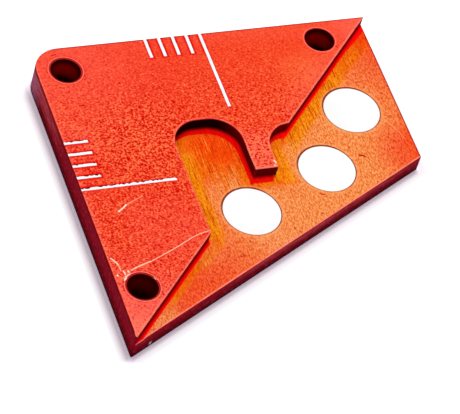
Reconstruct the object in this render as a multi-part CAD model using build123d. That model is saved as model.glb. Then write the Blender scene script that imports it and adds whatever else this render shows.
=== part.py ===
from build123d import *
from math import atan2, degrees, sqrt
import os

# Setup jig for a lock mitre router bit: a flat metal plate with a lowered ledge, three disc
# magnets sunk flush in the ledge, three plain holes and two rows of engraved lines.
# The plate lies on its back, in millimetres, +Z up. The step wall between the raised face and the
# ledge runs from tip to tip at 45 degrees through the origin, which is also where the two long
# engraved lines would cross. The cutter profile is measured from there.

# Outline of the plate
plate_side = 78.2
right_edge_length = 39.1
plate_thickness = 6.7
square_corner_radius = 6.35
tip_radius = 0.35

# Ledge and edge finish
step_height = 2.55
rim_break = 0.12
base_break = 0.12

# Cutter profile in the step wall
notch_width = 15.1
notch_reach = 15.1
notch_corner_radius = 6.5
tongue_width = 5.2
relief_radius = 6.85
relief_start = 4.75

# Plain holes through the raised part
hole_radius = 3.35
hole_break = 0.12
corner_hole_inset = 6.5
tip_hole_inset = 5.3
tip_hole_setback = 12.5

# Engraved lines
line_pitch = 3.175
short_line_count = 4
short_line_length = 5.5
centre_line_length = 21.35
line_width = 0.86
line_depth = 0.1

# Disc magnets and their blind pockets
magnet_diameter = 12.7
magnet_thickness = 3.175
magnet_edge_break = 0.06
magnet_depth_below_ledge = 0.02
pocket_clearance = 0.08
pocket_break = 0.05

# The upper magnet, from the right edge and up from the right corner
upper_magnet_inset = 10.95
upper_magnet_rise = 15.05
# The other two, in from the slanted edge and along it from the right corner
middle_magnet_inset = 9.8
middle_magnet_run = 19.9
lower_magnet_inset = 10.9
lower_magnet_run = 42.05

half_side = plate_side / 2
ledge_height = plate_thickness - step_height
square_corner = Vector(-half_side, half_side)
upper_tip = Vector(half_side, half_side)
right_corner = Vector(half_side, half_side - right_edge_length)
lower_tip = Vector(-half_side, -half_side)
pocket_radius = magnet_diameter / 2 + pocket_clearance
pocket_depth = magnet_thickness + magnet_depth_below_ledge

# A turned solid with its axis on the origin and its lower end at Z = 0
STANDING = (Align.CENTER, Align.CENTER, Align.MIN)


def outline():
    """The plate seen from above, with its one rounded corner and three sharp ones."""
    face = make_face(Polyline(square_corner, upper_tip, right_corner, lower_tip, close=True))
    return fillet(face.vertices().sort_by_distance(square_corner)[0], square_corner_radius)


def raised_region():
    """The raised side of the step wall: a half plane with the cutter profile along its edge."""
    reach = plate_side
    notch_right = Vector(-notch_corner_radius, notch_reach - notch_corner_radius)
    notch_left = Vector(notch_corner_radius - notch_width, notch_right.Y)
    relief_centre = Vector(tongue_width + relief_radius, relief_start)
    relief_end = step_line_meets_relief(relief_centre)
    relief_angle = degrees(atan2(relief_end.Y - relief_centre.Y, relief_end.X - relief_centre.X))
    profile = [
        Line((reach, reach), relief_end),
        CenterArc(relief_centre, relief_radius, relief_angle, 180 - relief_angle),
        Polyline((tongue_width, relief_start), (tongue_width, 0), (0, 0), (0, notch_right.Y)),
        CenterArc(notch_right, notch_corner_radius, 0, 90),
        Line((notch_right.X, notch_reach), (notch_left.X, notch_reach)),
        CenterArc(notch_left, notch_corner_radius, 90, 90),
        Polyline((-notch_width, notch_left.Y), (-notch_width, -notch_width), (-reach, -reach)),
        Polyline((-reach, -reach), (-reach, reach), (reach, reach)),
    ]
    return make_face(Curve() + profile)


def step_line_meets_relief(centre):
    """The upper of the two points where the 45 degree step line crosses the relief circle."""
    off_line = (centre.X - centre.Y) / sqrt(2)
    half_chord = sqrt(relief_radius**2 - off_line**2)
    along = (centre.X + centre.Y) / sqrt(2) + half_chord
    return Vector(along / sqrt(2), along / sqrt(2))


def hole_positions():
    """One hole in the rounded corner, and one beside each long edge near its tip."""
    corner = Vector(-half_side + corner_hole_inset, half_side - corner_hole_inset)
    upper = Vector(half_side - tip_hole_setback, half_side - tip_hole_inset)
    lower = Vector(-half_side + tip_hole_inset, -half_side + tip_hole_setback)
    return [corner, upper, lower]


def magnet_positions():
    """Node name and centre of each magnet, set out from the edges of the ledge."""
    along_slant = (lower_tip - right_corner).normalized()
    inward = along_slant.rotate(Axis.Z, -90)
    upper = right_corner + Vector(-upper_magnet_inset, upper_magnet_rise)
    middle = right_corner + along_slant * middle_magnet_run + inward * middle_magnet_inset
    lower = right_corner + along_slant * lower_magnet_run + inward * lower_magnet_inset
    return {"upper_magnet": upper, "middle_magnet": middle, "lower_magnet": lower}


def jig_plate():
    """The plate, machined in the order a shop would: blank, ledge, edges, holes, lines."""
    blank = extrude(outline(), plate_thickness)
    plate = cut_ledge(blank)
    plate = round_tips(break_edges(plate))
    plate = bore_holes(plate)
    plate = sink_pockets(plate)
    return engrave_lines(plate)


def cut_ledge(plate):
    """Mills everything outside the raised region down to the ledge."""
    waste = Rectangle(2 * plate_side, 2 * plate_side) - raised_region()
    return plate - extrude(Pos(Z=plate_thickness) * waste, -step_height)


def break_edges(plate):
    """Takes the sharpness off the base, the whole rim of the raised face and the ledge's rim."""
    plate = chamfer(plate.faces().sort_by(Axis.Z)[0].edges(), base_break)
    plate = chamfer(plate.faces().sort_by(Axis.Z)[-1].edges(), rim_break)
    return chamfer(ledge_rim(plate), rim_break)


def ledge_rim(plate):
    """The edges of the ledge that lie on the plate's outline, away from the step wall."""
    flats = plate.faces().filter_by(Plane.XY)
    ledge = flats.filter_by_position(Axis.Z, ledge_height, ledge_height)[0]
    boundary = Pos(Z=ledge_height) * outline().face().outer_wire()
    on_boundary = rim_break / 10
    return ledge.edges().filter_by(lambda edge: boundary.distance_to(edge @ 0.5) < on_boundary)


def round_tips(plate):
    """Takes the three sharp corners back to a small radius, from the base to the top."""
    corners = outline().vertices()
    tips = [corners.sort_by_distance(tip)[0] for tip in (upper_tip, right_corner, lower_tip)]
    return plate & extrude(fillet(tips, tip_radius), plate_thickness)


def bore_holes(plate):
    """Drills the three holes right through and breaks both of their mouths."""
    drill = Cylinder(hole_radius, plate_thickness, align=STANDING)
    mouth = Cone(hole_radius + hole_break, hole_radius, hole_break, align=STANDING)
    top_mouth = Pos(Z=plate_thickness) * Rot(X=180) * mouth
    cutter = drill + mouth + top_mouth
    return plate - [Pos(centre) * cutter for centre in hole_positions()]


def sink_pockets(plate):
    """Sinks one flat-bottomed pocket in the ledge for each magnet."""
    pocket = Pos(Z=-pocket_depth) * Cylinder(pocket_radius, pocket_depth, align=STANDING)
    mouth = Cone(pocket_radius + pocket_break, pocket_radius, pocket_break, align=STANDING)
    cutter = Pos(Z=ledge_height) * (pocket + Rot(X=180) * mouth)
    return plate - [Pos(centre) * cutter for centre in magnet_positions().values()]


def engrave_lines(plate):
    """Cuts the short lines and the long centre line in from the far edge and the left edge."""
    floor_height = plate_thickness - line_depth
    for index in range(short_line_count + 1):
        length = short_line_length if index else centre_line_length
        offset = index * line_pitch
        down = Box(line_width, length, step_height, align=(Align.CENTER, Align.MAX, Align.MIN))
        across = Box(length, line_width, step_height, align=(Align.MIN, Align.CENTER, Align.MIN))
        plate -= Pos(-offset, half_side, floor_height) * down
        plate -= Pos(-half_side, offset, floor_height) * across
    return plate


def magnet(centre):
    """A plated disc that stands on its pocket's floor, just below the ledge."""
    disc = Cylinder(magnet_diameter / 2, magnet_thickness, align=STANDING)
    disc = chamfer(disc.edges().filter_by(GeomType.CIRCLE), magnet_edge_break)
    return Pos(centre.X, centre.Y, ledge_height - pocket_depth) * disc


def make_nodes():
    """Every separate piece of the jig, by its node name."""
    nodes = {"jig_plate": jig_plate()}
    for name, centre in magnet_positions().items():
        nodes[name] = magnet(centre)
    return nodes


os.makedirs("parts", exist_ok=True)
for node_name, piece in make_nodes().items():
    export_step(piece, f"parts/{node_name}.step")
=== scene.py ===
"""Router bit setup jig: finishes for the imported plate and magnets, the white fill of the engraved
lines, and a plain studio seen from the photograph's viewing angle."""

import math
import random

import bmesh
import bpy
from bpy.props import FloatProperty, FloatVectorProperty, IntProperty, PointerProperty
from mathutils import Matrix, Vector


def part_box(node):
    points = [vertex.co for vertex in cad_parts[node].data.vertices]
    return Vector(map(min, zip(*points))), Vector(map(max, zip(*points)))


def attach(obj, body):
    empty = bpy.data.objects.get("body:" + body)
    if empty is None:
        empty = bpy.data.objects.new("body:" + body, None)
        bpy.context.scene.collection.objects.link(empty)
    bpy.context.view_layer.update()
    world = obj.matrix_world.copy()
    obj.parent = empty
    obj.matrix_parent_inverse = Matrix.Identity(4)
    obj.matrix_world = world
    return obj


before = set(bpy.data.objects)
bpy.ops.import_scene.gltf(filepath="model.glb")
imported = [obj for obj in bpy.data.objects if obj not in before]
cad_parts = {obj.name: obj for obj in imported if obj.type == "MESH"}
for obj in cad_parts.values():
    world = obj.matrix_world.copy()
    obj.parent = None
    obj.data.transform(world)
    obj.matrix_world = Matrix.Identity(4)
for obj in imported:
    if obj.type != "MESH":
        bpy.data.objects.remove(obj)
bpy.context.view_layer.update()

bl_info = {
    "name": "Router bit setup jig",
    "version": (1, 0, 0),
    "blender": (4, 5, 0),
    "location": "3D View > Sidebar > Setup Jig",
    "description": "Finishes a packed router bit setup jig and sets it on a plain studio floor",
    "category": "Object",
}

MM = 0.001
BUMP_DISTANCE = 0.05 * MM


def display(red, green, blue):
    """A colour in display values from 0 to 255, as Blender's linear colour."""
    return tuple(
        v / 12.92 if v <= 0.04045 else ((v + 0.055) / 1.055) ** 2.4
        for v in (red / 255, green / 255, blue / 255)
    )


def colour(name, description, default):
    return FloatVectorProperty(
        name=name, description=description, default=default, subtype="COLOR", min=0, max=1
    )


def length(name, description, default):
    return FloatProperty(
        name=name, description=description, default=default, unit="LENGTH", precision=5, min=0
    )


def share(name, description, default):
    return FloatProperty(
        name=name, description=description, default=default, subtype="FACTOR", min=0, max=1
    )


def angle(name, description, default):
    return FloatProperty(
        name=name, description=description, default=math.radians(default), subtype="ANGLE"
    )


# Settings that a user would change


class PlateFinish(bpy.types.PropertyGroup):
    """Colours of the anodised plate in even white light; several carry painted shade, highlight or
    reflection.
    """

    dye: colour("Dye", "Red of the anodised layer under its sheen", display(255, 8, 9))
    sheen: share("Sheen", "Share of the light that the metal under the dye throws back", 0.19)
    wall_sheen: share("Wall sheen", "The same share on the walls", 0.05)
    open_sheen: share("Open sheen", "The same share on the open ledge", 0.06)
    face: colour("Raised face", "Blasted face between its grains", display(230, 84, 51))
    warm_face: colour("Warm face", "The same towards the upper tip", display(231, 93, 50))
    pit: colour("Grain pits", "Darkest specks of the blasted face", display(200, 14, 0))
    glint: colour("Grain glints", "Lightest specks of the blasted face", display(244, 142, 90))
    # Paler face colour for the patches of painted sheen
    painted_sheen_face: colour("Worn face", "Raised face where it is handled", display(246, 124, 106))
    # The ledge's colours carry a painted broad highlight: bright round the magnets, duller towards
    # the tips
    ledge: colour("Ledge", "Milled ledge around the magnets", display(239, 145, 77))
    ledge_dull: colour("Ledge ends", "Milled ledge towards its two tips", display(237, 90, 46))
    # Painted blurred reflection of the step's walls in the ledge
    ledge_deep: colour("Ledge by the step", "Milled ledge close to the step", display(238, 114, 14))
    # Painted reflection of the dark walls near the step, and the dull right edge of the painted
    # highlight
    ledge_red: colour("Red ledge", "Milled ledge where it turns red", display(240, 74, 9))
    # Painted reflection that turns the ledge golden by the step
    ledge_gold: colour("Golden strips", "Milled ledge where it is golden", display(243, 148, 14))
    ledge_pale: colour("Pale rings", "Milled ledge round the magnets", display(243, 172, 112))
    # Painted shade round the pockets, darkest on their far sides
    pocket_shade: colour("Pocket lines", "Lines at the pockets' mouths", display(116, 14, 14))
    # Painted shade in the corner below the notch's round end and along the foot of the outer walls
    painted_shade: colour("Grime", "Dirt in the corner of the notch", display(40, 0, 2))
    deep_dark: colour("Dark streaks", "Darkest streaks close to the step", display(168, 20, 0))
    deep_light: colour("Light streaks", "Lightest streaks close to the step", display(252, 168, 56))
    ledge_pit: colour("Ledge pits", "Dark specks of the milled ledge", display(180, 40, 8))
    # Painted shade: the walls are the same anodise as the face, drawn darker, and darker still
    # towards the base
    wall: colour("Walls", "Side walls of the plate", display(150, 7, 34))
    wall_low: colour("Foot of the walls", "Side walls near the base", display(102, 0, 11))
    # Lighter wall colour: painted light high on the walls, and random mottling
    wall_mottle_and_light: colour("Worn walls", "Side walls where they are rubbed", display(190, 70, 80))
    wall_pale: colour("Pale wall", "Side wall by the rounded corner", display(176, 108, 134))
    wall_streak: colour("Wall streaks", "Dark streaks along the side walls", display(70, 6, 14))
    # Painted shade on the step's walls as well
    step_wall: colour("Step walls", "Walls of the notch and the tongue", display(102, 4, 8))
    straight_wall: colour("Straight step", "Wall of the straight step", display(140, 4, 14))
    mouth: colour("Mouths", "Edges of the holes and dark edge lines", display(150, 3, 14))
    # Painted shade inside the holes
    bore: colour("Bores", "Walls of the three holes", display(92, 3, 4))
    # Painted shade in the unfilled parts of the grooves
    groove: colour("Grooves", "Unfilled parts of the engraved lines", display(112, 18, 24))
    # Pale broken edges: partly wear, partly painted highlight
    rim: colour("Rims", "Broken edges where they are rubbed", display(250, 140, 118))
    # Darker broken edges, painted shade; the same colour rings each hole on the face
    rim_dull: colour("Dull rims", "Broken edges that kept their dye", display(205, 44, 44))
    bare: colour("Scratches", "Metal that shows through a scratch", display(255, 236, 212))
    face_roughness: share("Face roughness", "Roughness of the blasted face", 0.42)
    ledge_roughness: share("Ledge roughness", "Roughness of the milled ledge", 0.07)
    wall_roughness: share("Wall roughness", "Roughness of the walls", 0.38)


class LineFill(bpy.types.PropertyGroup):
    """The white filling of the engraved lines."""

    pitch: length("Pitch", "From one engraved line to the next", 3.175 * MM)
    width: length("Width", "Width of the filling in its groove", 0.72 * MM)
    short_length: length("Short lines", "Length of a short line", 5.42 * MM)
    long_length: length("Long lines", "Length of a centre line", 21.28 * MM)
    short_count: IntProperty(
        name="Short lines", description="Short lines beside each centre line", default=4, min=0
    )
    depth: length("Groove depth", "Depth of the engraved grooves", 0.1 * MM)
    below_face: length("Below the face", "How far the filling stays below the face", 0.006 * MM)
    raggedness: length("Raggedness", "How far the filling's worst edge wanders", 0.34 * MM)
    neat: share("Neat edges", "How much of that the other edges wander", 0.15)
    step: length("Step", "Distance between the points of a ragged edge", 0.35 * MM)
    seed: IntProperty(name="Seed", description="Pattern of the ragged edges", default=7, min=0)
    paint: colour("Paint", "Colour of the filling", display(253, 252, 250))
    dull_paint: colour("Dull paint", "Duller spots of the filling", display(243, 236, 232))


class MagnetFinish(bpy.types.PropertyGroup):
    """The nickel plate on the magnets."""

    nickel: colour("Nickel", "Colour of the plating", display(255, 255, 255))
    rim_tint: colour("Stained rim", "Colour of the plating on the rim", display(232, 150, 118))
    tarnish: colour("Tarnish", "Colour of the plating where it is dull", display(252, 252, 252))
    roughness: share("Roughness", "Roughness of the plating", 0.22)


class Studio(bpy.types.PropertyGroup):
    """The floor, the light and the camera."""

    floor_colour: colour("Floor", "Colour of the floor", display(243, 241, 243))
    # Painted shade on the floor under the holes
    covered_colour: colour("Covered floor", "Floor in the jig's holes", display(70, 12, 14))
    floor_size: length("Floor size", "Side of the square floor", 6.0)
    # The floor's glow is painted light: it lifts the floor to white and, by falling off beside the
    # jig, paints its shadow
    near_glow: share("Near glow", "Light added to the floor right beside the jig", 0.25)
    floor_glow: share("Floor glow", "Light added to the whole floor", 0.1)
    open_glow: share("Open glow", "Light added outside the shadow as well", 0.25)
    outer_glow: share("Outer glow", "Light added from a little way out", 0.08)
    glow_reach: length("Glow reach", "How far from the jig the floor is lit in full", 3.2 * MM)
    glow_tint: colour("Glow tint", "Colour of that light further out", (0.55, 1.0, 0.95))
    fill: share("Fill", "Strength of the fill light", 0.4)
    fill_tint: colour("Fill tint", "Colour of the fill light", (0.97, 0.82, 1.0))
    key_tint: colour("Key tint", "Colour of the key light", (1.0, 1.0, 0.97))
    key_energy: FloatProperty(
        name="Key light", description="Power of the key light", default=7.5, unit="POWER", min=0
    )
    key_size: length("Key size", "Side of the square key light", 0.3)
    key_distance: length("Key distance", "From the jig to the key light", 1.0)
    key_heading: angle("Key heading", "Where the key light stands, from +Y towards +X", 24)
    key_height: angle("Key height", "Height of the key light above the floor", 76)
    view_heading: angle("View heading", "Where the camera looks, from +Y towards +X", 31.9199)
    view_height: angle("View height", "How far the camera looks down", 47.8446)
    view_roll: angle("View roll", "Turn of the camera about its own axis", 17.8005)
    view_distance: length("View distance", "From the camera to the plate's face", 0.703356)
    view_target: FloatVectorProperty(
        name="View target",
        description="Point that the middle of the picture shows",
        default=(-8.947 * MM, -9.151 * MM, 6.7 * MM),
        subtype="TRANSLATION",
        unit="LENGTH",
    )
    lens: FloatProperty(
        name="Lens", description="Focal length of the camera", default=264.341, unit="CAMERA"
    )


# Shader nodes


class Value:
    """A socket of a finish. Arithmetic on it adds Math nodes."""

    def __init__(self, finish, socket):
        self.finish = finish
        self.socket = socket

    def __add__(self, other):
        return compute("ADD", self, other)

    def __radd__(self, other):
        return compute("ADD", other, self)

    def __sub__(self, other):
        return compute("SUBTRACT", self, other)

    def __rsub__(self, other):
        return compute("SUBTRACT", other, self)

    def __mul__(self, other):
        return compute("MULTIPLY", self, other)

    def __rmul__(self, other):
        return compute("MULTIPLY", other, self)

    def __truediv__(self, other):
        return compute("DIVIDE", self, other)

    def __rtruediv__(self, other):
        return compute("DIVIDE", other, self)

    def __abs__(self):
        return compute("ABSOLUTE", self)

    def __or__(self, other):
        """Either mask."""
        return compute("MAXIMUM", self, other)

    def __and__(self, other):
        """Both masks."""
        return compute("MINIMUM", self, other)

    def rises(self, low, high):
        """0 below low, 1 above high, smooth between; low may be the larger of the two."""
        return self.finish.node(
            "ShaderNodeMapRange",
            {"interpolation_type": "SMOOTHSTEP"},
            {"Value": self, "From Min": low, "From Max": high},
        )


def compute(operation, *values):
    """A Math node on numbers and values."""
    finish = next(value.finish for value in values if isinstance(value, Value))
    return finish.node("ShaderNodeMath", {"operation": operation}, dict(enumerate(values)))


class Finish:
    """The nodes of one material or world."""

    def __init__(self, owner):
        owner.use_nodes = True
        self.tree = owner.node_tree
        self.tree.nodes.clear()

    def node(self, kind, settings=(), sockets=(), output=0):
        """Adds a node: its settings first, then what its sockets are given."""
        made = self.tree.nodes.new(kind)
        for name, value in dict(settings).items():
            setattr(made, name, value)
        for key, value in dict(sockets).items():
            self.give(made.inputs[key], value)
        return Value(self, made.outputs[output])

    def give(self, socket, value):
        """Links a value to a socket, or sets the socket to a number, vector or colour."""
        if isinstance(value, Value):
            self.tree.links.new(value.socket, socket)
        elif socket.type == "RGBA":
            socket.default_value = (*value, 1.0)
        else:
            socket.default_value = value

    def vector(self, operation, *values, output=0):
        return self.node(
            "ShaderNodeVectorMath", {"operation": operation}, dict(enumerate(values)), output
        )

    def scaled(self, vector, factor):
        return self.node(
            "ShaderNodeVectorMath", {"operation": "SCALE"}, {"Vector": vector, "Scale": factor}
        )

    def blend(self, factor, below, above, mode="MIX"):
        """The colour above laid over the colour below."""
        return self.node(
            "ShaderNodeMix",
            {"data_type": "RGBA", "blend_type": mode},
            {0: factor, 6: below, 7: above},
            output=2,
        )

    def noise(self, place, scale, detail, roughness, distortion=0.0):
        """Cloudy noise, about 0.5 on average, with scale blots to the millimetre."""
        sockets = {"Vector": place, "Scale": scale, "Detail": detail}
        sockets |= {"Roughness": roughness, "Distortion": distortion}
        return self.node("ShaderNodeTexNoise", {"noise_dimensions": "3D"}, sockets)

    def specks(self, place, scale):
        """Distance from the nearest of many scattered points, in spacings."""
        return self.node(
            "ShaderNodeTexVoronoi", {"feature": "F1"}, {"Vector": place, "Scale": scale}
        )

    def stretched(self, place, factors):
        """The place with each axis scaled, to draw a pattern out along an axis."""
        return self.vector("MULTIPLY", place, factors)

    def moved(self, place, offset):
        return self.vector("ADD", place, offset)

    def bump(self, height, strength):
        sockets = {"Height": height, "Strength": strength, "Distance": BUMP_DISTANCE}
        return self.node("ShaderNodeBump", sockets=sockets)

    def principled(self, sockets):
        return self.node("ShaderNodeBsdfPrincipled", sockets=sockets)

    def show(self, shader, kind="ShaderNodeOutputMaterial"):
        made = self.tree.nodes.new(kind)
        self.tree.links.new(shader.socket, made.inputs["Surface"])


class Surface(Finish):
    """A material, with the place on the object in millimetres and the way the surface faces."""

    def __init__(self, name):
        self.material = bpy.data.materials.new(name)
        super().__init__(self.material)
        coordinates = self.node("ShaderNodeTexCoord", output="Object")
        self.place = self.scaled(coordinates, 1 / MM)
        self.plan = self.vector("MULTIPLY", self.place, (1.0, 1.0, 0.0))
        self.x, self.y, self.z = self.split(self.place)
        normal = self.node("ShaderNodeNewGeometry", output="True Normal")
        self.upness = self.split(normal)[2]

    def split(self, vector):
        made = self.node("ShaderNodeSeparateXYZ", sockets={0: vector})
        return [Value(self, output) for output in made.socket.node.outputs]

    def away(self, centre):
        """Distance in plan from a point."""
        return self.vector("DISTANCE", self.plan, (*centre, 0.0), output="Value")

    def from_hole(self):
        """Distance in plan from the middle of the nearest hole."""
        return self.away(HOLES[0]) & self.away(HOLES[1]) & self.away(HOLES[2])

    def from_magnet(self):
        """Distance in plan from the middle of the nearest magnet."""
        return self.away(MAGNETS[0]) & self.away(MAGNETS[1]) & self.away(MAGNETS[2])

    def near(self, centre, inner, outer):
        """1 within the inner distance of a point in plan, 0 past the outer one."""
        return self.away(centre).rises(outer, inner)

    def band(self, value, low, high, soft):
        """1 where a value lies between low and high, with soft ends outside them."""
        return value.rises(low - soft, low) & value.rises(high + soft, high)

    def box(self, corner, opposite, soft):
        """1 in a rectangle in plan, with soft sides outside it."""
        across = self.band(self.x, corner[0], opposite[0], soft)
        return across & self.band(self.y, corner[1], opposite[1], soft)

    def past_slant(self):
        """Distance in plan past the plate's slanted edge, less than 0 on the plate."""
        return (self.x * 0.5 - self.y - SLANT_DROP) / math.hypot(1.0, 0.5)

    def past_step(self):
        """Distance in plan past the 45 degree step line, less than 0 on its raised side."""
        return (self.x - self.y) / math.sqrt(2)

    def into_raised(self):
        """Distance in plan into the raised region from the step, less than 0 on the ledge."""
        tongue = self.x & (TONGUE_WIDTH - self.x) & self.y
        solid = (self.past_step() * -1.0) | tongue
        relief = self.away(RELIEF_CENTRE) - RELIEF_RADIUS
        across = (abs(self.x - NOTCH_MIDDLE[0]) - NOTCH_HALF_FLAT) | 0.0
        up = (self.y - NOTCH_MIDDLE[1]) | 0.0
        notch = compute("SQRT", across * across + up * up) - NOTCH_RADIUS
        return solid & relief & notch

    def outside(self):
        """Distance in plan past the nearest edge of the plate, less than 0 on the plate."""
        low, high = (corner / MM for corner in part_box("jig_plate"))
        sides = (low.x - self.x) | (self.x - high.x) | (self.y - high.y)
        return sides | self.past_slant()

    def patches(self, rows):
        """All the round patches of a table of (strength, centre, inner, outer) as one mask."""
        return either([self.near(*row[1:]) * row[0] for row in rows])

    def strokes(self, rows):
        """All the strokes of a table of (strength, start, end, width, bow) as one mask."""
        return either([self.stroke(*row[1:]) * row[0] for row in rows])

    def stroke(self, start, end, width, bow):
        """A mask of a thin stroke in plan, thinner at its ends; bow is how far it bends."""
        along = Vector(end) - Vector(start)
        direction = along.normalized()
        from_start = self.vector("SUBTRACT", self.place, (*start, 0.0))
        run = self.vector("DOT_PRODUCT", from_start, (*direction, 0.0), output="Value")
        off = self.vector(
            "DOT_PRODUCT", from_start, (-direction.y, direction.x, 0.0), output="Value"
        )
        part = run / along.length
        swell = part * (1.0 - part) * 4.0
        off = abs(off - swell * bow) if bow else abs(off)
        return (off / width).rises(1.0, 0.4) * swell.rises(0.0, 0.15)


def either(masks):
    """The strongest of a list of masks."""
    whole = masks[0]
    for mask in masks[1:]:
        whole = whole | mask
    return whole


# The plate: sizes in millimetres, in plan from the middle of the step line


LEDGE_TOP = 4.15
FACE_TOP = 6.7
GROOVE_FLOOR = 6.6
LEFT_EDGE = -39.1
# The slanted edge crosses X = 0 this far below Y = 0
SLANT_DROP = 19.55
HOLE_RADIUS = 3.35
HOLES = ((-32.6, 32.6), (26.6, 33.8), (-33.8, -26.6))
POCKET_RADIUS = 6.43
MAGNET_RADIUS = 6.35
MAGNETS = ((28.15, 15.05), (16.92, -0.13), (-3.385, -9.056))
TONGUE_WIDTH = 5.2
RELIEF_CENTRE = (12.05, 4.75)
RELIEF_RADIUS = 6.85
# The round end of the notch: between its two arcs, and how far each arc's centre is from there
NOTCH_MIDDLE = (-7.55, 8.6)
NOTCH_HALF_FLAT = 1.05
NOTCH_RADIUS = 6.5
# The engraved lines: where the short and the long ones end, and where the last one lies
LINE_PITCH = 3.175
SHORT_LINE_END = 33.4
LONG_LINE_END = 17.6
LAST_LINE = 4 * LINE_PITCH

WHITE = (1.0, 1.0, 1.0)
BLACK = (0.0, 0.0, 0.0)
# What the grain and the blots of the ledge do to its red, green and blue
GRAIN_DARKENS = (0.92, 0.5, 0.32)
GRAIN_LIGHTENS = (1.1, 1.35, 1.8)
BLOTS_DARKEN = (0.7, 0.7, 0.7)

# Round patches, in millimetres: strength, centre, where they are full, where they have ended
# Painted sheen that makes the raised face paler: its three corners, the tongue and two more areas
FACE_PAINTED_SHEEN = (
    (0.35, (-39.0, 39.0), 8.0, 34.0),
    (0.55, (37.0, 38.0), 2.0, 12.0),
    (0.84, (-39.0, -39.0), 9.0, 25.0),
    (0.65, (3.0, 3.0), 4.0, 10.0),
    (0.35, (-37.0, 13.0), 2.0, 9.0),
    (0.22, (-24.0, -13.0), 4.0, 12.0),
)
# Painted reflections of the step's dark walls in the ledge: at the round end of the notch, at the
# upper tip, by the notch's left wall and beside the lower part of the step
LEDGE_REDDER = (
    (1.0, (-4.5, 10.5), 3.0, 11.5),
    (1.0, (38.5, 38.0), 3.0, 9.0),
    (0.28, (-11.0, 2.0), 1.5, 5.5),
    (0.28, (-22.5, -24.6), 1.5, 4.5),
)
# The ledge along the lower part of the step
LEDGE_LIGHTER = (
    (0.2, (-16.5, -18.5), 2.0, 5.0),
    (0.2, (-30.0, -32.0), 2.0, 5.0),
    (0.5, (-35.5, -37.2), 1.0, 5.0),
)
# Painted light high on the outer walls: near the rounded corner, and the middle of the slanted one
WALLS_PAINTED_LIGHT = ((1.0, (-39.0, 30.0), 4.0, 20.0), (1.0, (12.0, -13.5), 12.0, 36.0))
# The far side of each bore, where a painted pool of light shows the dye
BORES_LIT = (
    (1.0, (-31.4, 35.6), 0.8, 4.6),
    (1.0, (27.8, 36.8), 0.8, 4.6),
    (0.3, (-32.6, -23.6), 0.8, 4.6),
)

# Scratches on the raised face, in millimetres: strength, start, end, half width, bow
FACE_SCRATCHES = (
    (0.88, (-35.1, -22.2), (-30.0, -20.5), 0.16, 0.08),
    (0.66, (-30.4, -20.7), (-19.3, -15.7), 0.13, -0.12),
    (0.62, (-19.8, -15.9), (-15.3, -14.6), 0.13, 0.15),
    (0.95, (-38.4, -18.4), (-37.15, -20.5), 0.18, 0.12),
    (0.6, (-37.25, -20.2), (-37.08, -22.0), 0.14, 0.0),
    (1.0, (-33.0, -6.9), (-31.8, -6.1), 0.25, 0.0),
    (1.0, (-31.7, -6.1), (-30.7, -5.2), 0.23, 0.0),
    (0.42, (-31.0, -5.4), (-26.5, -3.5), 0.12, 0.05),
    (1.0, (-36.65, -22.05), (-36.45, -23.15), 0.18, 0.0),
    (1.0, (-35.72, -22.15), (-35.58, -22.65), 0.24, 0.0),
    (0.55, (-35.5, -22.4), (-35.6, -23.3), 0.13, 0.1),
    (0.8, (-35.65, -23.0), (-36.55, -23.65), 0.17, 0.0),
    (1.0, (-36.55, -23.4), (-36.62, -24.2), 0.17, 0.0),
    (1.0, (-36.55, -23.95), (-37.2, -24.5), 0.2, 0.0),
    (0.9, (-37.0, -23.6), (-37.0, -24.3), 0.12, 0.0),
    (1.0, (-38.3, -22.85), (-38.0, -23.25), 0.24, 0.0),
    (1.0, (-30.9, -24.7), (-30.55, -25.3), 0.13, 0.0),
    (1.0, (4.7, 1.9), (5.0, 0.9), 0.2, 0.0),
    (0.9, (4.3, 0.5), (4.7, 0.2), 0.15, 0.0),
)
# In the same form: dark dents in the face, and dark marks and pale scratches on the ledge
FACE_DENTS = (
    (0.9, (-34.7, 37.05), (-33.3, 37.2), 0.2, 0.1),
    (0.9, (29.5, 31.5), (30.0, 31.0), 0.22, 0.0),
    (0.7, (-29.5, 29.4), (-28.8, 29.9), 0.16, 0.0),
)
LEDGE_MARKS = (
    (1.0, (25.2, 2.4), (26.7, 1.8), 0.34, 0.2),
    (0.9, (13.0, -6.5), (14.0, -7.0), 0.22, -0.1),
)
LEDGE_SCRATCHES = (
    (0.7, (33.9, 11.4), (36.2, 8.2), 0.15, 0.35),
    (0.5, (36.1, 8.4), (37.3, 5.2), 0.14, 0.2),
)


def face_colour(surface, look):
    """The blasted face: its grain, darker beside the engraved lines, and pale along the step,
    partly wear and partly painted highlight.
    """
    shade = face_grain(surface, look, face_base(surface, look))
    near_line = beside_lines(surface)
    shade = surface.blend(near_line.rises(0.15, 0.7) * 0.55, shade, look.dye)
    shade = surface.blend(near_line.rises(0.65, 0.95) * 0.6, shade, look.pit)
    shade = surface.blend(edge_highlight_and_wear(surface), shade, look.rim)
    shade = surface.blend(far_edge(surface) * 0.7, shade, look.mouth)
    return face_marks(surface, look, shade)


def face_base(surface, look):
    """The face without its grain: paler in patches of painted sheen and along its edges, palest at
    its lower tip.
    """
    left = surface.x.rises(-37.0, -38.8) * 0.5
    far = surface.y.rises(33.0, 37.0) * 0.14
    step = surface.past_step().rises(-7.0, -1.0) * surface.x.rises(8.0, 14.0) * 0.25
    pale_patches = surface.patches(FACE_PAINTED_SHEEN) | left | far | step
    shade = surface.blend(surface.x.rises(-30.0, 20.0), look.face, look.warm_face)
    shade = surface.blend(surface.near((20.0, 25.0), 1.0, 9.0) * 0.4, shade, look.ledge)
    shade = surface.blend(pale_patches, shade, look.painted_sheen_face)
    return surface.blend(surface.near((-38.2, -37.5), 0.5, 5.0) * 0.7, shade, look.rim)


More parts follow.
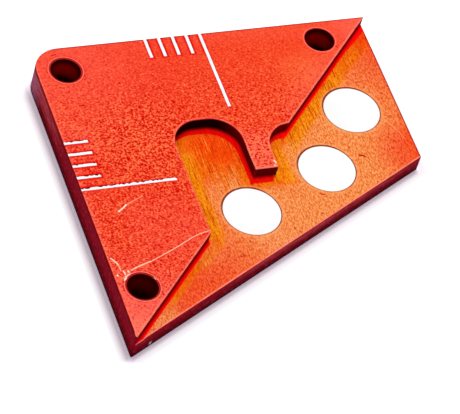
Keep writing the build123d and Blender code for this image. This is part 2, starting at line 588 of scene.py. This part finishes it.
def face_grain(surface, look, shade):
    """Fine grains, lighter and darker than the face, and scattered pits."""
    strength = grain_strength(surface)
    grain = surface.noise(surface.place, 2.2, 2.0, 0.5, 0.3)
    cloud = surface.noise(surface.place, 0.22, 2.0, 0.5)
    level = (grain - 0.5) * strength * 0.88 + (cloud - 0.5) * 0.04 + 0.5
    shade = surface.blend(level.rises(0.505, 0.34), shade, look.pit)
    shade = surface.blend(level.rises(0.5, 0.66), shade, look.glint)
    pits = surface.noise(surface.moved(surface.place, (7.0, 3.0, 0.0)), 1.9, 2.0, 0.7, 0.5)
    return surface.blend(pits.rises(0.36, 0.27) * strength * 0.95, shade, look.pit)


def grain_strength(surface):
    """How much the grain of the face shows, 1 on most of it."""
    far = surface.y.rises(12.0, 36.0) * 0.5
    middle = surface.near((-20.0, 9.0), 6.0, 15.0) * 0.45
    tip = surface.near((-37.0, -34.0), 4.0, 11.0) * 0.35
    right = surface.x.rises(10.0, 26.0) * 0.2
    # A calmer grain in one of the face's painted sheen patches
    handled = surface.near((-24.0, -13.0), 4.0, 12.0) * 0.176
    tongue = surface.near((3.0, 3.0), 4.0, 10.0) * 0.325
    return (1.0 - far + middle) * (1.0 - tip) * (1.0 - right - handled + tongue)


def edge_highlight_and_wear(surface):
    """Up to 1 on the face right inside the step's edge, the tongue's end and the left edge: partly
    wear, partly painted highlight.
    """
    step = surface.into_raised().rises(0.5, 0.3)
    step = step * (0.75 + surface.near((2.6, 1.0), 4.0, 7.0) * 0.2)
    side = surface.outside().rises(-0.5, -0.3) * surface.x.rises(-38.0, -38.5) * 0.45
    broken = surface.noise(surface.place, 1.1, 3.0, 0.7)
    end = surface.box((-0.2, -0.2), (5.4, 0.25), 0.3) * 0.8
    return (step | side) * (0.4 + broken.rises(0.35, 0.6) * 0.6) | end


def far_edge(surface):
    """1 in a line on the face right inside its far edge."""
    return surface.y.rises(34.0, 36.0) & surface.outside().rises(-0.45, -0.3)


def beside_lines(surface):
    """Up to 1 on the face close beside an engraved line."""
    across, along = surface.x, surface.y
    rows = 0.0
    for offset, reach in ((across, along), (along * -1.0, across * -1.0)):
        nearest = surface.node(
            "ShaderNodeMath", {"operation": "PINGPONG"}, {0: offset, 1: LINE_PITCH / 2}
        )
        short = surface.band(offset, -LAST_LINE, 0.0, 1.2)
        short = short & reach.rises(SHORT_LINE_END - 0.4, SHORT_LINE_END)
        long = surface.band(offset, 0.0, 0.0, 1.2)
        long = long & reach.rises(LONG_LINE_END - 0.4, LONG_LINE_END)
        rows = nearest.rises(1.35, 0.5) * (short | long) | rows
    return rows


def face_marks(surface, look, shade):
    """A pale ring of painted highlight and a dark mouth at each hole, plainer at the upper one, and
    every scratch.
    """
    upper = surface.near(HOLES[1], 4.5, 5.5)
    ringed = surface.from_hole() + upper * 0.16
    paled = surface.band(ringed, HOLE_RADIUS + 0.35, HOLE_RADIUS + 0.5, 0.15)
    shade = surface.blend(paled * 0.75, shade, look.rim)
    mouth = ringed.rises(HOLE_RADIUS + 0.42, HOLE_RADIUS + 0.28)
    shade = surface.blend(mouth * (0.9 - upper * 0.55), shade, look.mouth)
    broken = surface.noise(surface.place, 1.5, 2.0, 0.6)
    groove = surface.band(ringed, HOLE_RADIUS + 0.75, HOLE_RADIUS + 0.85, 0.12)
    groove = groove * (0.25 + broken.rises(0.45, 0.6) * 0.45) * (1.0 - upper)
    shade = surface.blend(groove, shade, look.rim_dull)
    shade = surface.blend(surface.strokes(FACE_DENTS), shade, look.pit)
    scratched = surface.strokes(FACE_SCRATCHES) * broken.rises(0.25, 0.42)
    return surface.blend(scratched, shade, look.bare)


def ledge_colour(surface, look):
    """The milled ledge: a painted highlight in its middle, painted reflections of the step by it,
    and streaks along Y by the step.
    """
    deep = by_the_step(surface)
    golden = golden_strips(surface)
    shade = ledge_base(surface, look, deep, golden)
    shade = ledge_grain(surface, shade, deep)
    shade = ledge_streaks(surface, look, shade, deep, golden)
    shade = ledge_marks(surface, look, shade, deep)
    shade = ledge_edges(surface, look, shade)
    shade = beside_magnets(surface, look, shade)
    shade = surface.blend(corner_painted_shade(surface), shade, look.painted_shade)
    # Painted reflection of the step's wall beside the straight step
    return surface.blend(painted_reflection_band(surface), shade, look.dye)


def by_the_step(surface):
    """1 on the ledge close to the step, in the notch and beside the tongue: a painted blurred
    reflection of the step's walls.
    """
    upper = surface.near((39.0, 39.0), 8.0, 26.0) * 0.8
    lower = surface.near((-27.0, -27.0), 7.0, 13.0) * 1.2
    lower = lower + surface.near((-35.0, -37.0), 4.0, 10.0) * 2.2
    step = (surface.into_raised() * -1.0 - upper + lower).rises(4.2, 2.4)
    fingers = surface.noise(surface.stretched(surface.place, (1.1, 0.1, 1.0)), 1.0, 2.0, 0.7)
    reach = (surface.y + (fingers - 0.5) * 22.0).rises(-3.5, 3.5)
    notch = surface.band(surface.x, -15.5, 0.3, 5.0) & surface.y.rises(21.0, 16.0) & reach
    strip = surface.box((-15.5, -11.0), (-14.0, 1.0), 2.0)
    ragged = surface.noise(surface.place, 0.3, 2.0, 0.6) * 3.0
    tongue = surface.band(surface.x, 5.0, 7.0, 3.0) & (surface.y + ragged).rises(-3.5, 1.0)
    tongue = tongue & surface.y.rises(12.0, 9.0)
    return step | notch | strip | tongue


def golden_strips(surface):
    """Up to 1 in the notch, beside the tongue and by the step, where a painted reflection makes the
    ledge golden.
    """
    notch = surface.box((-15.5, -13.5), (-12.6, 7.0), 2.4) * 0.75
    tongue = surface.box((5.0, -1.0), (5.9, 5.0), 1.0)
    tongue = tongue | surface.box((7.4, -2.0), (8.6, 6.0), 1.2) * 0.7
    along = surface.band(surface.past_step(), 1.7, 3.4, 1.4)
    step = (along & surface.band(surface.x, 13.0, 27.0, 4.0)) * 0.8
    return notch | tongue | step


def painted_reflection_band(surface):
    """1 on the ledge right beside the straight step: a painted reflection of the step's dark wall,
    in the plain dye.
    """
    clear = surface.x.rises(9.5, 10.5) | surface.x.rises(-14.8, -15.3)
    upper = surface.near((38.5, 38.0), 2.0, 11.0) * 0.45
    return (surface.past_step() - upper).rises(0.85, 0.6) & clear


def corner_painted_shade(surface):
    """Up to 1 in the corner below the round end of the notch: painted shade, where little light
    gets in.
    """
    past_wall = surface.into_raised()
    return past_wall.rises(-1.5, 0.1) * surface.near((-7.5, 14.6), 5.0, 8.0) * 0.8


def ledge_base(surface, look, deep, golden):
    """The ledge without its grain: a painted broad highlight, dull at the right corner, and painted
    reflections by the step.
    """
    corner = surface.near((39.0, 2.0), 3.0, 13.5) * 0.96
    tip = surface.near((-33.0, -35.5), 4.0, 8.0) * 0.8
    warm = (surface.near((14.0, 1.0), 17.0, 42.0) & (1.0 - corner)) | tip
    shade = surface.blend(warm, look.ledge_dull, look.ledge)
    shade = surface.blend(surface.near((-1.0, -18.0), 2.0, 6.0) * 0.2, shade, look.ledge_pale)
    shade = surface.blend(deep, shade, look.ledge_deep)
    right = surface.x.rises(35.5, 38.5) * surface.y.rises(16.0, 5.0) * 0.4
    shade = surface.blend(surface.patches(LEDGE_REDDER) | right, shade, look.ledge_red)
    shade = surface.blend(surface.patches(LEDGE_LIGHTER), shade, look.glint)
    return surface.blend(golden, shade, look.ledge_gold)


def ledge_grain(surface, shade, deep):
    """Short grains, whose light ones are fainter by the step, and soft dark blots."""
    grain = surface.noise(surface.stretched(surface.place, (3.0, 1.3, 1.0)), 1.0, 2.0, 0.6)
    darker = surface.blend(1.0, shade, GRAIN_DARKENS, "MULTIPLY")
    lighter = surface.vector("MINIMUM", surface.stretched(shade, GRAIN_LIGHTENS), WHITE)
    shade = surface.blend(grain.rises(0.5, 0.39) * (1.0 - deep * 0.1), shade, darker)
    shade = surface.blend(grain.rises(0.51, 0.61) * (1.0 - deep * 0.35), shade, lighter)
    blots = surface.noise(surface.moved(surface.place, (3.0, 8.0, 0.0)), 2.4, 2.0, 0.6)
    return surface.blend(blots.rises(0.52, 0.36) * 0.5, shade, BLOTS_DARKEN, "MULTIPLY")


def ledge_streaks(surface, look, shade, deep, golden):
    """Streaks along Y by the step; the light ones stay clear of its foot."""
    streaks = surface.noise(surface.stretched(surface.place, (3.2, 0.16, 1.0)), 1.0, 2.0, 0.7)
    groups = surface.noise(surface.stretched(surface.place, (0.3, 0.12, 1.0)), 1.0, 2.0, 0.5)
    lively = deep * (0.25 + groups.rises(0.42, 0.62) * 0.75) | golden
    lively = lively * (1.0 - surface.near((-28.0, -29.0), 6.0, 12.0) * 0.7)
    shade = surface.blend(streaks.rises(0.49, 0.36) * lively * 0.8, shade, look.deep_dark)
    clear = surface.into_raised().rises(-1.6, -2.4) * lively
    return surface.blend(streaks.rises(0.54, 0.68) * clear * 0.75, shade, look.deep_light)


def ledge_marks(surface, look, shade, deep):
    """Dark pits away from the step, dark marks and pale scratches."""
    sparse = surface.noise(surface.place, 0.35, 2.0, 0.5).rises(0.45, 0.6) * (1.0 - deep)
    pits = surface.specks(surface.stretched(surface.place, (1.0, 0.8, 1.0)), 0.75)
    shade = surface.blend(pits.rises(0.25, 0.14) * sparse * 0.65, shade, look.ledge_pit)
    shade = surface.blend(surface.strokes(LEDGE_MARKS), shade, look.ledge_pit)
    return surface.blend(surface.strokes(LEDGE_SCRATCHES), shade, look.ledge_pale)


def ledge_edges(surface, look, shade):
    """A dark line inside the ledge's right edge, and a pale one inside its slanted edge, partly
    wear and partly painted highlight.
    """
    shade = surface.blend(surface.x.rises(38.6, 38.85) * 0.75, shade, look.mouth)
    broken = surface.noise(surface.place, 0.7, 2.0, 0.6).rises(0.4, 0.6)
    rubbed = surface.past_slant().rises(-0.5, -0.36) * (0.5 + broken * 0.5)
    return surface.blend(rubbed, shade, look.rim)


def beside_magnets(surface, look, shade):
    """A thin brown line round each pocket, painted shade that is darkest on its far side, and a
    paler ring past it.
    """
    nearest = surface.from_magnet()
    around = surface.band(nearest, POCKET_RADIUS + 0.25, POCKET_RADIUS + 0.6, 0.25)
    shade = surface.blend(around * 0.35, shade, look.ledge_pale)
    side = 0.0
    for centre in MAGNETS:
        far = (surface.x - centre[0]) * -0.3 + (surface.y - centre[1]) * 0.95
        side = far.rises(1.0, 5.5) * surface.near(centre, 7.5, 8.5) | side
    width = 0.12 + side * 0.16
    line = (nearest - POCKET_RADIUS - width).rises(0.08, -0.04)
    return surface.blend(line * (0.2 + side * 0.6), shade, look.pocket_shade)


def wall_colour(surface, look):
    """The outer walls, the step's walls inside them, and the bores."""
    inner = surface.outside().rises(-0.4, -0.8)
    shade = surface.blend(inner, outer_wall(surface, look), step_wall(surface, look))
    # Painted shade in the bores, and a painted pool of light on their far side
    shade = surface.blend(by_bore(surface), shade, look.bore)
    lit = surface.patches(BORES_LIT) * surface.band(surface.z, 2.6, 3.8, 2.0)
    return surface.blend(lit & by_bore(surface), shade, look.dye)


def outer_wall(surface, look):
    """The outer walls: darker towards the base as painted shade, lighter high up as painted light,
    mottled and chipped in places.
    """
    marks = surface.noise(surface.stretched(surface.place, (0.25, 0.25, 3.0)), 1.0, 3.0, 0.6)
    shade = surface.blend(surface.z.rises(3.6, 0.6), look.wall, look.wall_low)
    high = surface.z.rises(1.6, 4.0) * marks.rises(0.3, 0.6)
    shade = surface.blend(surface.patches(WALLS_PAINTED_LIGHT) * high, shade, look.wall_mottle_and_light)
    shade = surface.blend(surface.near((-38.5, 35.5), 2.0, 9.0) * 0.7, shade, look.wall_pale)
    shade = surface.blend(marks.rises(0.52, 0.3) * 0.35, shade, look.wall_streak)
    mottled = surface.noise(surface.place, 1.1, 2.0, 0.6)
    shade = surface.blend(mottled.rises(0.5, 0.35) * 0.4, shade, look.wall_low)
    shade = surface.blend(mottled.rises(0.54, 0.7) * 0.3, shade, look.wall_mottle_and_light)
    # Painted shade along the foot of the walls
    shade = surface.blend(surface.z.rises(0.85, 0.25) * 0.85, shade, look.painted_shade)
    shade = surface.blend(surface.z.rises(5.9, 6.1) * 0.8, shade, look.wall_low)
    chip = surface.near((-34.4, -36.6), 0.2, 0.45) * surface.band(surface.z, 0.8, 1.2, 0.4)
    return surface.blend(chip * 0.6, shade, look.bare)


def step_wall(surface, look):
    """The step's walls in painted shade: brighter where the step is straight, black at the notch's
    round end.
    """
    straight = abs(surface.x - surface.y).rises(0.4, 0.2)
    shade = surface.blend(straight, look.step_wall, look.straight_wall)
    return surface.blend(surface.near((-9.5, 12.5), 6.0, 9.5) * 0.9, shade, BLACK)


def by_bore(surface):
    """1 on the wall and the mouth of a hole."""
    return surface.from_hole().rises(HOLE_RADIUS + 0.3, HOLE_RADIUS + 0.2)


def rim_colour(surface, look):
    """The broken edges: pale along the step and the tongue, partly wear and partly painted
    highlight, dark round the outline as painted shade.
    """
    step = abs(surface.x - surface.y).rises(1.6, 1.0)
    tongue = surface.near((2.6, 2.0), 4.2, 5.5)
    pale = (step | tongue) & (1.0 - by_bore(surface))
    outer = surface.outside().rises(-0.4, -0.3) & surface.z.rises(5.0, 6.0)
    slant = surface.past_slant().rises(-0.8, -0.4)
    dull = surface.blend(outer * 0.9 | slant * 0.7, look.rim_dull, look.mouth)
    pale_patches = surface.noise(surface.place, 0.8, 2.0, 0.6).rises(0.3, 0.55)
    return surface.blend(pale * (0.4 + pale_patches * 0.6), dull, look.rim)


def edge_finish(surface, look):
    """A mask of the walls, the broken edges and the grooves' floors, and their colours."""
    upward = surface.upness.rises(0.86, 0.95)
    wall = surface.upness.rises(0.62, 0.3)
    rim = 1.0 - (upward | wall)
    groove = surface.band(surface.z, GROOVE_FLOOR - 0.03, GROOVE_FLOOR + 0.03, 0.01) * upward
    shade = surface.blend(wall, rim_colour(surface, look), wall_colour(surface, look))
    return wall | rim | groove, surface.blend(groove, shade, look.groove)


def sheen_share(surface, look, raised):
    """The sheen's share of the light: more on the face and by the step than on the open ledge."""
    polished = surface.into_raised().rises(-2.7, -2.1) | raised
    return look.open_sheen + polished * (look.sheen - look.open_sheen)


def body_colour(surface, look, seen, sheen):
    """The dye, kept within what leaves the sheen a colour between black and white."""
    gain = 1.0 / (1.0 - sheen)
    least = surface.scaled(surface.vector("SUBTRACT", seen, sheen), gain)
    most = surface.scaled(seen, gain)
    return surface.vector("MAXIMUM", surface.vector("MINIMUM", look.dye, most), least)


def sheen_colour(surface, seen, body, sheen):
    """What the sheen adds to the body to give the colour that is seen."""
    own = surface.scaled(body, 1.0 - sheen)
    rest = surface.vector("MAXIMUM", surface.vector("SUBTRACT", seen, own), BLACK)
    return surface.scaled(rest, 1.0 / sheen)


def plate_material(look):
    """Red anodised aluminium: a red body under a sheen that takes its own colour."""
    surface = Surface("red_anodised_aluminium")
    raised = surface.z.rises(LEDGE_TOP + 0.6, FACE_TOP - 0.6)
    matt_only, edges = edge_finish(surface, look)
    flat = surface.blend(raised, ledge_colour(surface, look), face_colour(surface, look))
    seen = surface.blend(matt_only, flat, edges)
    sheen = sheen_share(surface, look, raised)
    body = surface.blend(matt_only, body_colour(surface, look, seen, sheen), edges)
    shine = sheen_colour(surface, seen, body, sheen)
    bump = surface.bump(surface.noise(surface.place, 3.0, 2.0, 0.6) * raised, 0.15)
    roughness = plate_roughness(look, raised, matt_only)
    matt = {"Base Color": body, "Roughness": 0.5, "Specular IOR Level": 0.0, "Normal": bump}
    bright = {"Base Color": shine, "Metallic": 1.0, "Roughness": roughness, "Normal": bump}
    dull = matt_only | painted_reflection_band(surface) * (1.0 - raised)
    sheen = sheen - dull * (sheen - look.wall_sheen)
    shaders = {0: sheen, 1: surface.principled(matt), 2: surface.principled(bright)}
    surface.show(surface.node("ShaderNodeMixShader", sockets=shaders))
    return surface.material


def plate_roughness(look, raised, matt_only):
    """Roughness of the sheen on the ledge, the face and the walls."""
    flat = look.ledge_roughness + raised * (look.face_roughness - look.ledge_roughness)
    return flat + matt_only * (look.wall_roughness - flat)


class JIG_OT_finish_plate(bpy.types.Operator):
    """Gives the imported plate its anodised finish"""

    bl_idname = "jig.finish_plate"
    bl_label = "Finish the plate"

    def execute(self, context):
        give_material(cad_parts["jig_plate"], plate_material(context.scene.jig_plate_finish))
        return {"FINISHED"}


def give_material(piece, material):
    """Puts one material in all of a piece's material slots."""
    if not piece.material_slots:
        piece.data.materials.append(material)
    for slot in piece.material_slots:
        slot.material = material


# The engraved lines


# The filling starts this far in from the plate's edge
LINE_SETBACK = 0.13 * MM


def line_strip(mesh, start, direction, reach, fill, top, wander, chance):
    """One filled groove, from the plate's edge inwards, each side with its own raggedness."""
    side = Vector((-direction.y, direction.x, 0.0))
    count = max(2, round(reach / fill.step))
    left, right = [], []
    for row, sign, ragged in zip((left, right), (-1, 1), wander):
        for index in range(count + 1):
            along = reach * index / count
            half = fill.width / 2 - chance.random() ** 2 * fill.raggedness * ragged
            point = start + direction * along + side * sign * half
            row.append(mesh.verts.new((point.x, point.y, top)))
    for i in range(count):
        mesh.faces.new((left[i], left[i + 1], right[i + 1], right[i]))


def line_fill_mesh(fill):
    """The ten strips as one mesh: the far side of the lines along X is the ragged one."""
    mesh = bmesh.new()
    chance = random.Random(fill.seed)
    low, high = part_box("jig_plate")
    top = high.z - fill.below_face
    for index in range(fill.short_count + 1):
        reach = fill.short_length if index else fill.long_length
        offset = index * fill.pitch
        rows = (
            ((-offset, high.y - LINE_SETBACK, 0.0), (0.0, -1.0, 0.0), (fill.neat, fill.neat)),
            ((low.x + LINE_SETBACK, offset, 0.0), (1.0, 0.0, 0.0), (fill.neat, 1.0)),
        )
        for start, direction, wander in rows:
            start, direction = Vector(start), Vector(direction)
            line_strip(mesh, start, direction, reach - LINE_SETBACK, fill, top, wander, chance)
    bmesh.ops.recalc_face_normals(mesh, faces=mesh.faces)
    thick = bmesh.ops.extrude_face_region(mesh, geom=list(mesh.faces))
    foot = [item for item in thick["geom"] if isinstance(item, bmesh.types.BMVert)]
    bmesh.ops.translate(mesh, vec=(0.0, 0.0, fill.below_face - fill.depth), verts=foot)
    bmesh.ops.recalc_face_normals(mesh, faces=mesh.faces)
    return mesh


def line_fill_material(fill):
    """Matt white paint, a little uneven."""
    surface = Surface("white_line_paint")
    blots = surface.noise(surface.place, 1.4, 3.0, 0.6)
    shade = surface.blend(blots.rises(0.45, 0.3), fill.paint, fill.dull_paint)
    bump = surface.bump(blots, 0.3)
    paint = {"Base Color": shade, "Roughness": 0.7, "Specular IOR Level": 0.2, "Normal": bump}
    surface.show(surface.principled(paint))
    return surface.material


class JIG_OT_fill_lines(bpy.types.Operator):
    """Fills the engraved lines with white paint"""

    bl_idname = "jig.fill_lines"
    bl_label = "Fill the engraved lines"

    def execute(self, context):
        fill = context.scene.jig_line_fill
        piece = add_piece("engraved_line_fill", line_fill_mesh(fill), line_fill_material(fill))
        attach(piece, "root")
        return {"FINISHED"}


def add_piece(name, mesh, material):
    """Makes an object of a bmesh, at the origin, in one material."""
    data = bpy.data.meshes.new(name)
    mesh.to_mesh(data)
    mesh.free()
    data.materials.append(material)
    return add_object(name, data)


def add_object(name, data):
    """Makes an object of a mesh, a lamp or a camera."""
    made = bpy.data.objects.new(name, data)
    bpy.context.scene.collection.objects.link(made)
    return made


# The magnets


def magnet_material(look):
    """Bright nickel, faintly brushed, with dull areas and a brownish rim."""
    surface = Surface("nickel_plate")
    brushed = surface.noise(surface.stretched(surface.place, (0.3, 4.0, 1.0)), 1.0, 2.0, 0.6)
    dull = surface.noise(surface.place, 0.12, 2.0, 0.5).rises(0.42, 0.3)
    shade = surface.blend(dull, look.nickel, look.tarnish)
    rim = surface.from_magnet().rises(MAGNET_RADIUS - 0.11, MAGNET_RADIUS - 0.03)
    shade = surface.blend(rim, shade, look.rim_tint)
    roughness = (brushed - 0.5) * 0.2 + look.roughness
    plating = {"Base Color": shade, "Metallic": 1.0, "Roughness": roughness}
    surface.show(surface.principled(plating))
    return surface.material


class JIG_OT_finish_magnets(bpy.types.Operator):
    """Gives the three packed magnets their plating"""

    bl_idname = "jig.finish_magnets"
    bl_label = "Finish the magnets"

    def execute(self, context):
        nickel = magnet_material(context.scene.jig_magnet_finish)
        for name in ("upper_magnet", "middle_magnet", "lower_magnet"):
            give_material(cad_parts[name], nickel)
        return {"FINISHED"}


# The studio


def seen_directly(finish):
    """1 for what the camera sees, also in a mirror or through glass."""
    kinds = ("Camera", "Glossy", "Transmission")
    return either([finish.node("ShaderNodeLightPath", output=f"Is {kind} Ray") for kind in kinds])


FLOOR_DROP = 0.02 * MM
# The floor below the lower tip, where added glow paints the shadow out: centre, inner and outer
# distance
BELOW_TIP = ((-40.1, -42.4), 1.9, 3.5)


def floor_glow(surface, studio):
    """Light added to the floor: most outside the shadow, least in it and along the left edge,
    painting the shadow's shape.
    """
    outside = surface.outside()
    left = (surface.x - LEFT_EDGE).rises(-0.3, -0.6) * 0.8
    clear = outside.rises(2.1, studio.glow_reach / MM) | surface.y.rises(31.0, 38.0)
    clear = clear | surface.near(*BELOW_TIP)
    shadowed = 0.55 - left * 0.45
    close = outside.rises(0.62, 0.3) * (0.6 + left * 0.5)
    glow = (clear | shadowed) * studio.floor_glow + close * studio.near_glow
    return glow + clear * studio.open_glow + outside.rises(1.3, 2.5) * studio.outer_glow


def floor_material(studio):
    """A plain pale floor, darkened in the jig's holes as painted shade, with its glow where it is
    seen directly.
    """
    surface = Surface("studio_floor")
    covered = surface.from_hole().rises(HOLE_RADIUS + 0.4, HOLE_RADIUS + 0.1)
    shade = surface.blend(covered, studio.floor_colour, studio.covered_colour)
    matt = surface.node("ShaderNodeBsdfDiffuse", sockets={"Color": shade})
    tint = surface.blend(surface.outside().rises(0.8, 1.8), studio.fill_tint, studio.glow_tint)
    strength = seen_directly(surface) * (1.0 - covered) * floor_glow(surface, studio)
    glow = surface.node("ShaderNodeEmission", sockets={"Color": tint, "Strength": strength})
    surface.show(surface.node("ShaderNodeAddShader", sockets={0: matt, 1: glow}))
    return surface.material


def add_floor(studio):
    """A square floor just under the jig, which keeps the jig's shadow."""
    mesh = bmesh.new()
    bmesh.ops.create_grid(mesh, x_segments=8, y_segments=8, size=studio.floor_size / 2)
    bmesh.ops.translate(mesh, vec=(0.0, 0.0, -FLOOR_DROP), verts=mesh.verts)
    floor = add_piece("studio_floor", mesh, floor_material(studio))


def towards(heading, height):
    """A unit vector for a heading from +Y towards +X and a height above the floor."""
    level = math.cos(height)
    return Vector((math.sin(heading) * level, math.cos(heading) * level, math.sin(height)))


def light_world(studio):
    """Even fill light, and plain white where the world is seen."""
    world = bpy.data.worlds.new("studio")
    bpy.context.scene.world = world
    sky = Finish(world)
    seen = seen_directly(sky)
    tint = sky.blend(seen, studio.fill_tint, WHITE)
    strength = studio.fill * (1.0 - seen) + seen
    light = sky.node("ShaderNodeBackground", sockets={"Color": tint, "Strength": strength})
    sky.show(light, "ShaderNodeOutputWorld")


def add_key(studio):
    """One large soft light behind the jig, to its right."""
    lamp = bpy.data.lights.new("key_light", "AREA")
    lamp.energy = studio.key_energy
    lamp.size = studio.key_size
    lamp.color = studio.key_tint
    key = add_object("key_light", lamp)
    out = towards(studio.key_heading, studio.key_height)
    key.location = out * studio.key_distance
    key.rotation_euler = (-out).to_track_quat("-Z", "Y").to_euler()
    key.visible_glossy = False


def add_camera(studio):
    """The camera at the photograph's viewing angle."""
    data = bpy.data.cameras.new("camera")
    data.lens = studio.lens
    data.sensor_width = 36.0
    data.clip_start, data.clip_end = 0.01, 20.0
    camera = add_object("camera", data)
    forward = towards(studio.view_heading, -studio.view_height)
    level = forward.to_track_quat("-Z", "Y").to_matrix()
    turned = level @ Matrix.Rotation(studio.view_roll, 3, "Z")
    camera.location = Vector(studio.view_target) - forward * studio.view_distance
    camera.rotation_euler = turned.to_euler()
    bpy.context.scene.camera = camera


class JIG_OT_set_stage(bpy.types.Operator):
    """Adds the floor, the light and the camera"""

    bl_idname = "jig.set_stage"
    bl_label = "Set the stage"

    def execute(self, context):
        studio = context.scene.jig_studio
        add_floor(studio)
        light_world(studio)
        add_key(studio)
        add_camera(studio)
        context.scene.view_settings.view_transform = "Standard"
        return {"FINISHED"}


class JIG_PT_panel(bpy.types.Panel):
    """Lists the steps that dress the jig"""

    bl_label = "Setup Jig"
    bl_idname = "JIG_PT_panel"
    bl_space_type = "VIEW_3D"
    bl_region_type = "UI"
    bl_category = "Setup Jig"

    def draw(self, context):
        for operator in OPERATORS:
            self.layout.operator(operator.bl_idname)


OPERATORS = (JIG_OT_finish_plate, JIG_OT_fill_lines, JIG_OT_finish_magnets, JIG_OT_set_stage)
SETTINGS = {
    "jig_plate_finish": PlateFinish,
    "jig_line_fill": LineFill,
    "jig_magnet_finish": MagnetFinish,
    "jig_studio": Studio,
}


def register():
    for kind in (*SETTINGS.values(), *OPERATORS, JIG_PT_panel):
        bpy.utils.register_class(kind)
    for name, kind in SETTINGS.items():
        setattr(bpy.types.Scene, name, PointerProperty(type=kind))


def unregister():
    for name in SETTINGS:
        delattr(bpy.types.Scene, name)
    for kind in (JIG_PT_panel, *reversed(OPERATORS), *SETTINGS.values()):
        bpy.utils.unregister_class(kind)


def main():
    register()
    bpy.ops.jig.finish_plate()
    bpy.ops.jig.fill_lines()
    bpy.ops.jig.finish_magnets()
    bpy.ops.jig.set_stage()


if __name__ == "__main__":
    main()
